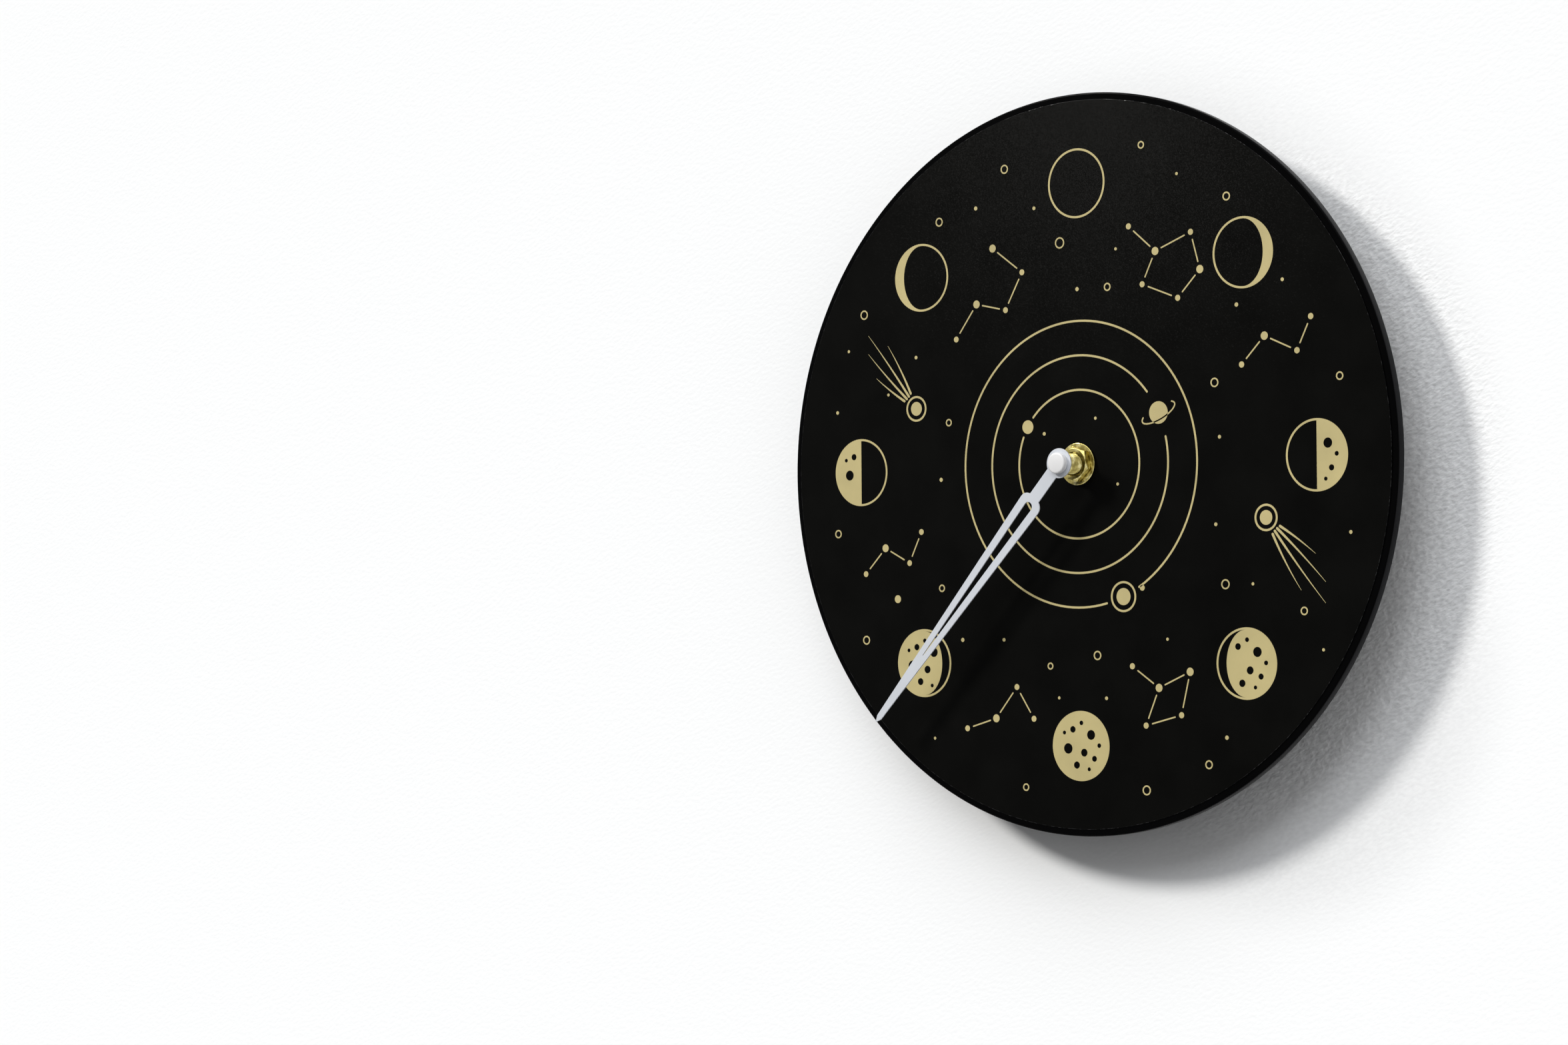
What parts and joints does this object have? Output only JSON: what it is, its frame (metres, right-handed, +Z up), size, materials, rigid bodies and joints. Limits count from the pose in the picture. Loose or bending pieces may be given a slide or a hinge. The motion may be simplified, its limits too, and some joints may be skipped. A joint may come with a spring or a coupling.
{
  "type": "moon phase wall clock",
  "caption": "Round thin black wall clock with a gold moon phase dial, a slotted pale hand on a threaded brass neck, and a geared quartz movement with hanger behind it.",
  "frame": {"origin": "point of the movement cover's back face on the hand's axis, which lies in the wall's plane", "axes": "+X to the viewer's right, +Y from the dial back into the wall, +Z up"},
  "size_m": [0.28, 0.037, 0.28],
  "materials": {
    "black_lacquer": "smooth black lacquer, half gloss",
    "dial_print": "fine grained matte black film with a gold print",
    "black_rubber": "matte",
    "brass": "bright machined",
    "hand_paint": "satin pale grey paint",
    "cap_plastic": "white, smooth",
    "case_plastic": "moulded, fine grain",
    "gear_plastic": "moulded, satin",
    "steel": "zinc plated",
    "magnet": "sintered, ground",
    "copper": "enamelled copper wire",
    "board": "green solder mask",
    "chip_resin": "black resin",
    "battery_jacket": "printed film on steel"
  },
  "bodies": {
    "case": {"body_plate": "black_lacquer", "dial_sheet": "dial_print", "rubber_gasket": "black_rubber", "threaded_bushing": "brass", "flat_washer": "brass", "hex_nut": "brass", "stator": "steel", "coil_core": "steel", "coil_bobbin": "gear_plastic", "coil_winding": "copper", "movement_case": "case_plastic", "movement_cover": "case_plastic", "train_bridge": "case_plastic", "cover_screw_1": "steel", "cover_screw_2": "steel", "cover_screw_3": "steel", "cover_screw_4": "steel", "hanger": "steel", "hanger_screw_1": "steel", "hanger_screw_2": "steel", "circuit_board": "board", "timer_chip": "chip_resin", "quartz_crystal": "steel", "positive_contact": "steel", "negative_contact": "steel"},
    "hand": {"moon_hand": "hand_paint", "hand_collet": "brass", "hand_cap": "cap_plastic", "hand_arbor": "steel", "moon_wheel": "gear_plastic"},
    "setting": {"set_arbor": "steel", "clutch_washer": "steel", "clutch_collar": "brass", "set_knob": "case_plastic"},
    "drive": {"drive_wheel": "gear_plastic"},
    "third": {"third_wheel": "gear_plastic"},
    "second": {"second_wheel": "gear_plastic"},
    "first": {"first_wheel": "gear_plastic"},
    "rotor": {"rotor_pinion": "gear_plastic", "rotor_magnet": "magnet"},
    "battery": {"battery_cell": "battery_jacket"}
  },
  "joints": [
    {"name": "hand_turn", "type": "hinge", "parent": "case", "child": "hand", "pos_m": [0, 0, 0], "axis": [0, 1, 0], "continuous": true},
    {"name": "set_knob_turn", "type": "hinge", "parent": "case", "child": "setting", "pos_m": [0.01025, 0, 0.0058], "axis": [0, 1, 0], "continuous": true},
    {"name": "drive_wheel_turn", "type": "hinge", "parent": "case", "child": "drive", "pos_m": [0.01025, 0, 0.0058], "axis": [0, 1, 0], "continuous": true},
    {"name": "third_wheel_turn", "type": "hinge", "parent": "case", "child": "third", "pos_m": [0.001, 0, 0.01443], "axis": [0, 1, 0], "continuous": true},
    {"name": "second_wheel_turn", "type": "hinge", "parent": "case", "child": "second", "pos_m": [-0.01023, 0, 0.01034], "axis": [0, 1, 0], "continuous": true},
    {"name": "first_wheel_turn", "type": "hinge", "parent": "case", "child": "first", "pos_m": [-0.0119, 0, -0.0015], "axis": [0, 1, 0], "continuous": true},
    {"name": "rotor_turn", "type": "hinge", "parent": "case", "child": "rotor", "pos_m": [-0.02043, 0, 0.00343], "axis": [0, 1, 0], "continuous": true},
    {"name": "battery_pull", "type": "slide", "parent": "case", "child": "battery", "axis": [0, 1, 0], "range_m": [0, 0.016]}
  ],
  "couplings": [
    {"joint": "set_knob_turn", "follows": "hand_turn", "ratio": -7.375},
    {"joint": "first_wheel_turn", "follows": "rotor_turn", "ratio": -0.16667},
    {"joint": "second_wheel_turn", "follows": "rotor_turn", "ratio": 0.022222},
    {"joint": "third_wheel_turn", "follows": "rotor_turn", "ratio": -0.002963},
    {"joint": "drive_wheel_turn", "follows": "rotor_turn", "ratio": 0.00037037}
  ]
}
